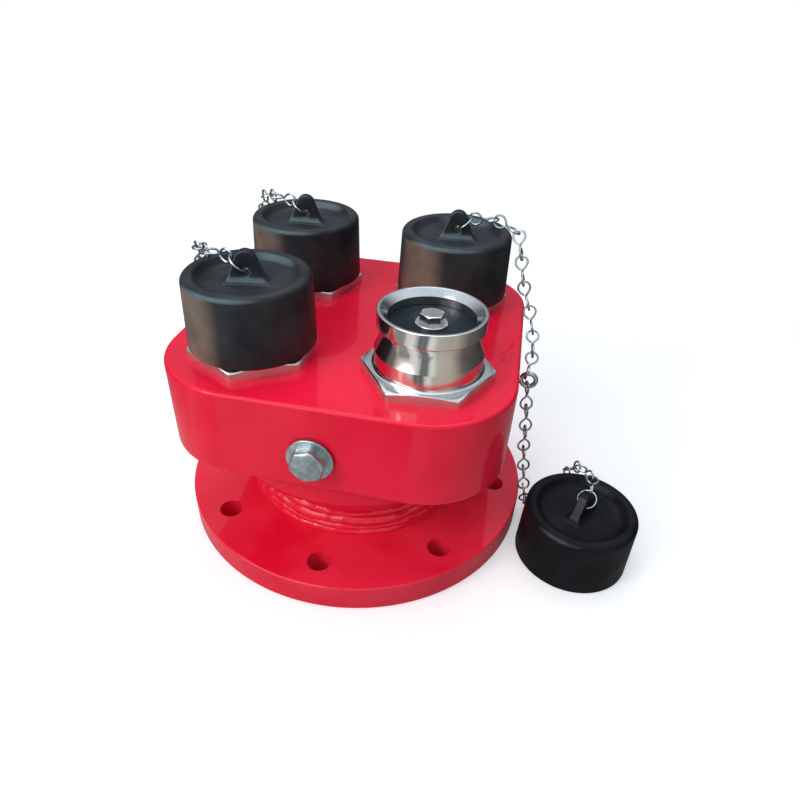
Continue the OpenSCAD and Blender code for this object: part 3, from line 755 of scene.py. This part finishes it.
def rubber(name, low, high, roughness=0.50, depth=0.0005, shine=0.2, painted_reflections=()):
    """Moulded black rubber with cloudy patches and a matt grain, with painted reflections and
    highlights, each a direction, how far round it reaches and a colour."""
    material, tree, shader = shade(name, Specular_IOR_Level=shine)
    uneven = use_group(tree, waves, Slow_Scale=45.0, Fine_Scale=1400.0, Fine_Share=0.12)
    colour = ramp(tree, uneven.outputs["Patches"], [(0.32, low), (0.68, high)]).outputs["Color"]
    cloudy = span(tree, uneven.outputs["Patches"], 0.1, 1.5)
    # Each painted reflection or highlight lightens or tints the colour where the surface faces its
    # direction, broken up by the cloudy patches.
    for direction, reach, reflection_tone in painted_reflections:
        toward = use_group(tree, facing, Direction=direction, Low=reach, High=1.0)
        amount = add_node(
            tree, "ShaderNodeMath", {0: toward.outputs["Amount"], 1: cloudy}, operation="MULTIPLY",
            use_clamp=True,
        )
        colour = mix_colours(tree, amount.outputs[0], colour, reflection_tone)
    bump = add_node(
        tree, "ShaderNodeBump", {"Height": uneven.outputs["Height"], "Distance": depth}
    )
    rough = span(tree, uneven.outputs["Patches"], roughness + 0.10, roughness - 0.10)
    link_shader(tree, shader, colour, rough, bump)
    return material


def wire_mesh(points, radius, cyclic=False, sides=3):
    """A round wire through those points as a mesh, with closed ends."""
    curve = bpy.data.curves.new("wire", "CURVE")
    curve.dimensions = "3D"
    curve.bevel_depth = radius
    curve.bevel_resolution = sides
    curve.use_fill_caps = True
    curve.resolution_u = 3
    spline = curve.splines.new("BEZIER")
    spline.bezier_points.add(len(points) - 1)
    for knot, point in zip(spline.bezier_points, points):
        knot.co = point
        knot.handle_left_type = knot.handle_right_type = "AUTO"
    spline.use_cyclic_u = cyclic
    holder = bpy.data.objects.new("wire", curve)
    bpy.context.scene.collection.objects.link(holder)
    mesh = bpy.data.meshes.new_from_object(holder)
    bpy.data.objects.remove(holder)
    bpy.data.curves.remove(curve)
    return mesh


disc_rubber = rubber(
    "rubber_disc", (0.004, 0.009, 0.012, 1), (0.010, 0.020, 0.026, 1), 0.34, shine=0.10
)
spring_steel = zinc_plate("zinc_spring", 0.28)
for corner in corners:
    axis = inlet_axes[corner]
    steel = turned_steel(f"valve_steel_{corner}", axis, roughness=0.20, depth=0.00002)
    dress(steel, *[f"{part}_{corner}" for part in valve_parts])
    dress(disc_rubber, f"valve_disc_{corner}")
    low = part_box(f"valve_guide_{corner}")[1].z + spring_wire
    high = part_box(f"valve_plate_{corner}")[0].z - spring_wire
    knots = []
    for step in range(spring_turns * per_turn + 1):
        turn = math.tau * step / per_turn
        share = step / (spring_turns * per_turn)
        knots.append(
            (axis[0] + spring_radius * math.cos(turn), axis[1] + spring_radius * math.sin(turn),
             low + (high - low) * share)
        )
    spring = bmesh.new()
    coil = wire_mesh(knots, spring_wire)
    spring.from_mesh(coil)
    bpy.data.meshes.remove(coil)
    piece = as_piece(
        f"coil_spring_{corner}", spring, spring_steel, "zinc_plate", None, f"valve_spring_{corner}"
    )
    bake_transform(piece)

# ---- Caps ----
# Four moulded rubber caps with a rounded rim and a dished top. The lug in the dish is
# moulded with the cap, flares into its floor and has a hole for the chain.

cap_mouth_radius = 0.0438
cap_top_radius = 0.0425
cap_height = 0.0487
cap_bore_radius = 0.0383
cap_grip_radius = 0.0356
cap_edge = 0.0044
cap_roof = 0.0394
dish_floor = 0.0422
dish_edge_radius = 0.0364
dish_edge = 0.0030
# Radius and depth under the cap's top of the points down the dish's side.
dish_side = [
    (0.0328, 0.0028), (0.0318, 0.0041), (0.0306, 0.0052), (0.0290, 0.0060), (0.0270, 0.0064),
]
dish_floor_radius = 0.0250
lug_height = 0.021
lug_half_width = 0.0135
lug_top_radius = 0.0070
lug_thickness = 0.0075
lug_hole_height = 0.0075
lug_hole_radius = 0.0028
lug_flare = 0.0055
lug_root = 0.0015
lug_edge = 0.0012
# Heights at which the lug's sides are cut, so that they can flare into the dish.
lug_cuts = (0.0002, 0.0006, 0.0012, 0.0020, 0.0030, 0.0042)
lug_turns = {"fl": 192, "fr": 61, "bl": 184, "br": 3}
loose_place = Vector((0.1885, -0.0415, 0.0))
cap_lift = 0.0073

cap_profile = (
    [(cap_bore_radius + 0.0006, 0.0), (cap_mouth_radius - 0.0012, 0.0)]
    + arc((cap_mouth_radius - 0.0012, 0.0012), 0.0012, -60, 0, 4)
    + arc((cap_top_radius - cap_edge, cap_height - cap_edge), cap_edge, 2, 90, 9)
    + arc((dish_edge_radius, cap_height - dish_edge), dish_edge, 90, 150, 5)
    + [(radius, cap_height - depth) for radius, depth in dish_side]
    + [(dish_floor_radius, dish_floor), (0.0, dish_floor), (0.0, cap_roof),
       (cap_bore_radius - 0.002, cap_roof), (cap_bore_radius, cap_roof - 0.002),
       (cap_bore_radius, 0.028), (cap_grip_radius, 0.025),
       (cap_grip_radius, 0.021), (cap_bore_radius, 0.018), (cap_bore_radius, 0.0006)]
)


def lug_outline(count):
    """Points of the lug's outline round its hole: a triangle with a round top."""
    top = lug_height - lug_top_radius
    reach = math.hypot(lug_half_width, top)
    lean = math.atan2(top, -lug_half_width) - math.asin(lug_top_radius / reach)
    touch = math.sqrt(reach ** 2 - lug_top_radius ** 2)
    side = Vector((lug_half_width + touch * math.cos(lean), touch * math.sin(lean)))
    start = math.atan2(side.y - top, side.x)
    dome = [
        Vector((lug_top_radius * math.cos(t), top + lug_top_radius * math.sin(t)))
        for t in (start + (math.pi - 2 * start) * step / 16 for step in range(17))
    ]
    foot = [Vector((-lug_half_width, -lug_root)), Vector((lug_half_width, -lug_root))]
    bends = dome + foot
    lengths = [(bends[(i + 1) % len(bends)] - bend).length for i, bend in enumerate(bends)]
    points = []
    for bend, after, length in zip(bends, bends[1:] + bends[:1], lengths):
        steps = max(1, round(count * length / sum(lengths)))
        points += [bend.lerp(after, step / steps) for step in range(steps)]
    return points


def mould_lug(bm):
    """The lug with its hole, rounded edges and flared foot, on the dish's floor."""
    outline = lug_outline(64)
    outer = [bm.verts.new((p.x, -lug_thickness / 2, p.y)) for p in outline]
    inner = [
        bm.verts.new((
            lug_hole_radius * math.cos(t), -lug_thickness / 2,
            lug_hole_height + lug_hole_radius * math.sin(t),
        ))
        for t in (math.atan2(p.y - lug_hole_height, p.x) for p in outline)
    ]
    count = len(outline)
    rings = [
        [bm.edges.new((ring[i], ring[(i + 1) % count])) for i in range(count)]
        for ring in (outer, inner)
    ]
    bmesh.ops.bridge_loops(bm, edges=rings[0] + rings[1])
    made = bmesh.ops.extrude_face_region(bm, geom=bm.faces[:])["geom"]
    bmesh.ops.translate(
        bm, verts=[item for item in made if isinstance(item, bmesh.types.BMVert)],
        vec=(0, lug_thickness, 0),
    )
    bmesh.ops.recalc_face_normals(bm, faces=bm.faces)
    rims = [
        edge for edge in bm.edges
        if len(edge.link_faces) == 2 and edge.calc_face_angle(0) > math.radians(60)
        and abs(edge.verts[0].co.y - edge.verts[1].co.y) < 1e-6
        and max(vert.co.z for vert in edge.verts) > 0
    ]
    bmesh.ops.bevel(
        bm, geom=rims, offset=lug_edge, affect="EDGES", segments=3, profile=0.5, material=-1
    )
    for height in lug_cuts:
        bmesh.ops.bisect_plane(
            bm, geom=bm.verts[:] + bm.edges[:] + bm.faces[:], plane_co=(0, 0, height),
            plane_no=(0, 0, 1),
        )
    for vert in bm.verts:
        drop = min(1.0, max(0.0, (lug_flare - vert.co.z) / lug_flare))
        swell = lug_flare * (1 - math.sqrt(1 - drop ** 2)) * 0.8
        hole = math.hypot(vert.co.x, vert.co.z - lug_hole_height) < lug_hole_radius * 1.5
        if swell and not hole:
            vert.co.y += math.copysign(swell, vert.co.y)
            vert.co.x += math.copysign(min(swell, abs(vert.co.x)), vert.co.x)
    bmesh.ops.translate(bm, verts=bm.verts, vec=(0, 0, dish_floor))


# The caps' colour is painted by the way they face: a painted warm reflection on the front left
# sides, painted bluish highlights on the front of the rim and a painted red reflection in the dish.
cap_rubber = rubber(
    "rubber_cap", (0.011, 0.013, 0.017, 1), (0.029, 0.032, 0.036, 1), 0.42, painted_reflections=[
        ((-0.57, -0.82, 0.0), 0.84, (0.20, 0.15, 0.115, 1)),
        ((-0.30, -0.82, 0.48), 0.88, (0.10, 0.15, 0.17, 1)),
        ((0.10, -0.84, 0.53), 0.90, (0.08, 0.12, 0.14, 1)),
        ((-0.60, 0.15, 0.78), 0.95, (0.13, 0.04, 0.05, 1)),
    ],
)
# The loose cap has a darker copy of the same rubber: painted shade for the cap standing off to the
# right, away from the lamps, with one painted bluish highlight on its rim.
shaded_loose_rubber = rubber(
    "rubber_cap_loose_painted_shade", (0.004, 0.004, 0.006, 1), (0.011, 0.011, 0.014, 1), 0.46, shine=0.10,
    painted_reflections=[((-0.40, -0.78, 0.47), 0.90, (0.06, 0.065, 0.08, 1))],
)
for corner in corners:
    cap = bmesh.new()
    mould_lug(cap)
    spin_profile(cap, cap_profile, steps=144, closed=False)
    if corner == "fr":
        foot, body = loose_place, "root"
    else:
        foot = Vector((*inlet_axes[corner], head_top + cap_lift))
        body = f"cap_{corner}"
    bmesh.ops.transform(
        cap, verts=cap.verts,
        matrix=Matrix.Translation(foot) @ Matrix.Rotation(math.radians(lug_turns[corner]), 4, "Z"),
    )
    # The loose cap takes the copy with painted shade.
    finish = shaded_loose_rubber if corner == "fr" else cap_rubber
    as_piece(f"rubber_cap_{corner}", cap, finish, "cap_rubber", body, f"cap_{corner}")

# ---- Chains ----
# Zinc-plated jack chain: each link is one wire bent into two pear-shaped loops at right
# angles. A ring ties it to the cap's lug, and a welded wire eye ties it to the head.

wire_radius = 0.0008
loop_radius = 0.0045
link_span = 0.013
link_play = 0.0008
link_gap = 2 * loop_radius - 2 * wire_radius - link_play
link_waist = 0.00105
end_link_radius = 0.0069
end_link_shift = 0.0063
end_link_tilt = math.radians(40)
eye_middle = Vector((0.132, 0, 0.130))
eye_step = 0.002
eye_side_hang = 0.0059
eye_low_hang = 0.0066
loop_seat = 0.0011
# Total twist of each chain's links, in degrees.
twists = {"br": -30, "fl": -50, "bl": -10, "fr": 15}
# Points of the fitted chains' routes as they run at the rear right cap, from the lug's ring
# to the eye. The left chains are turned or mirrored to their side.
right_route = [
    (0.085, 0.0595, 0.229), (0.098, 0.057, 0.2275), (0.108, 0.053, 0.221),
    (0.112, 0.048, 0.208), (0.115, 0.043, 0.195), (0.1195, 0.039, 0.182),
    (0.1255, 0.035, 0.169), (0.13, 0.028, 0.156), (0.132, 0.016, 0.147),
    (0.132, 0.006, 0.1415),
]
front_route = [
    (0.0835, 0.0597, 0.2278), (0.0925, 0.054, 0.2256), (0.1005, 0.0455, 0.2248),
    (0.1065, 0.0365, 0.216), (0.106, 0.0305, 0.202), (0.1075, 0.027, 0.1895),
    (0.1115, 0.025, 0.178), (0.1195, 0.0235, 0.1695), (0.1277, 0.02, 0.16),
    (0.131, 0.012, 0.15), (0.1315, 0.004, 0.142),
]
back_route = [
    (0.0835, 0.0625, 0.2283), (0.093, 0.069, 0.227), (0.1025, 0.0795, 0.2225),
    (0.1075, 0.0865, 0.211), (0.1075, 0.088, 0.1975), (0.11, 0.089, 0.1855),
    (0.1155, 0.087, 0.1745), (0.123, 0.082, 0.166), (0.1295, 0.073, 0.1595),
    (0.1325, 0.0615, 0.155), (0.1335, 0.0485, 0.152), (0.134, 0.0355, 0.1495),
    (0.135, 0.0225, 0.1465), (0.1345, 0.0095, 0.142),
]
loose_route = [
    (0.1962, -0.0205, 0.0582), (0.1925, -0.009, 0.056), (0.1865, 0.001, 0.054),
    (0.1815, 0.0095, 0.045), (0.1795, 0.013, 0.032), (0.1765, 0.014, 0.018),
    (0.1705, 0.013, 0.008), (0.1615, 0.0075, 0.0062), (0.153, -0.002, 0.008),
    (0.149, -0.01, 0.018), (0.1455, -0.0155, 0.031), (0.143, -0.014, 0.045),
    (0.1405, -0.012, 0.06), (0.138, -0.01, 0.076), (0.1365, -0.008, 0.092),
    (0.1345, -0.005, 0.107), (0.1325, -0.002, 0.118),
]


def chain_start(lug, turn, onward):
    """Middle of the first loop, which holds the far side of a lug's ring."""
    reach = end_link_shift + end_link_radius - wire_radius
    flat = reach * math.cos(end_link_tilt) - loop_seat
    wire = lug + Vector(
        (flat * math.cos(turn), flat * math.sin(turn), reach * math.sin(end_link_tilt))
    )
    return wire + loop_radius * (Vector(onward) - wire).normalized()


def along(route, distance):
    """The point of a route at that distance from its start."""
    for start, end in zip(route, route[1:]):
        length = (end - start).length
        if distance <= length or end is route[-1]:
            return start + (end - start) * distance / length
        distance -= length


def bent_link():
    """One link along X: two pear-shaped loops at right angles, ends tucked at the waist."""
    half = link_span / 2
    tip = half + loop_radius
    side = [
        (0.0009, link_waist), (half * 0.55, loop_radius * 0.80), (half + 0.0003, loop_radius),
        (tip - 0.0009, loop_radius * 0.62), (tip, 0.0), (tip - 0.0009, -loop_radius * 0.62),
        (half + 0.0003, -loop_radius), (half * 0.55, -loop_radius * 0.74),
    ]
    first = [(-x, y, 0.0) for x, y in side]
    second = [(x, 0.0, -y) for x, y in reversed(side)]
    return wire_mesh(first + [(0.0, 0.0, 0.0)] + second, wire_radius)


def hang_chain(name, route, node, twist, cap_body=None, place=Matrix.Identity(4)):
    """Links spaced evenly along a route, as one piece, left on no body when a cap is given."""
    route = [Vector(point) for point in route]
    length = sum((after - point).length for point, after in zip(route, route[1:]))
    count = math.ceil((length + link_gap) / (link_span + link_gap))
    step = (length - link_span) / (count - 1)
    chain = bmesh.new()
    side = None
    for number in range(count):
        start = along(route, number * step)
        end = along(route, number * step + link_span)
        run = (end - start).normalized()
        if side is None:
            side = run.cross(Vector((0, 0, 1))).normalized()
        else:
            side = (side - run * side.dot(run)).normalized()
            side.rotate(Quaternion(run, math.radians(twist) / (count - 1)))
        frame_of_link = Matrix((run, run.cross(side), -side)).transposed().to_4x4()
        link = pattern.copy()
        link.transform(place @ Matrix.Translation((start + end) / 2) @ frame_of_link)
        chain.from_mesh(link)
        bpy.data.meshes.remove(link)
    piece = as_piece(
        name, chain, chain_zinc, "zinc_plate", None if cap_body else "root", node
    )
    if cap_body:
        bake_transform(piece)


chain_zinc = zinc_plate("zinc_chain", 0.26)
dress(chain_zinc, "chain_eye_left", "chain_eye_right")
dress(chain_zinc, *[f"end_link_{corner}" for corner in corners])
pattern = bent_link()
lug_above_head = cap_lift + dish_floor + lug_hole_height
fitted_lug = Vector((inlet_reach, inlet_reach, head_top + lug_above_head))
half_turn = Matrix.Rotation(math.pi, 4, "Z")
left_hand = Matrix.Scale(-1, 4, (1, 0, 0))
for corner, turn, step, place, route in [
    ("br", lug_turns["br"], -eye_step, Matrix.Identity(4), right_route),
    ("fl", lug_turns["fl"] - 180, -eye_step, half_turn, front_route),
    ("bl", 180 - lug_turns["bl"], eye_step, left_hand, back_route),
]:
    start = chain_start(fitted_lug, math.radians(turn), route[0])
    end = eye_middle + Vector((step, 0, eye_side_hang))
    hang_chain(
        f"jack_chain_{corner}", [start, *route, end], f"chain_{corner}", twists[corner],
        f"cap_{corner}", place,
    )

loose_lug = loose_place + Vector((0, 0, dish_floor + lug_hole_height))
start = chain_start(loose_lug, math.radians(lug_turns["fr"]), loose_route[0])
end = eye_middle - Vector((0, 0, eye_low_hang))
hang_chain("jack_chain_fr", [start, *loose_route, end], "chain_fr", twists["fr"])
bpy.data.meshes.remove(pattern)
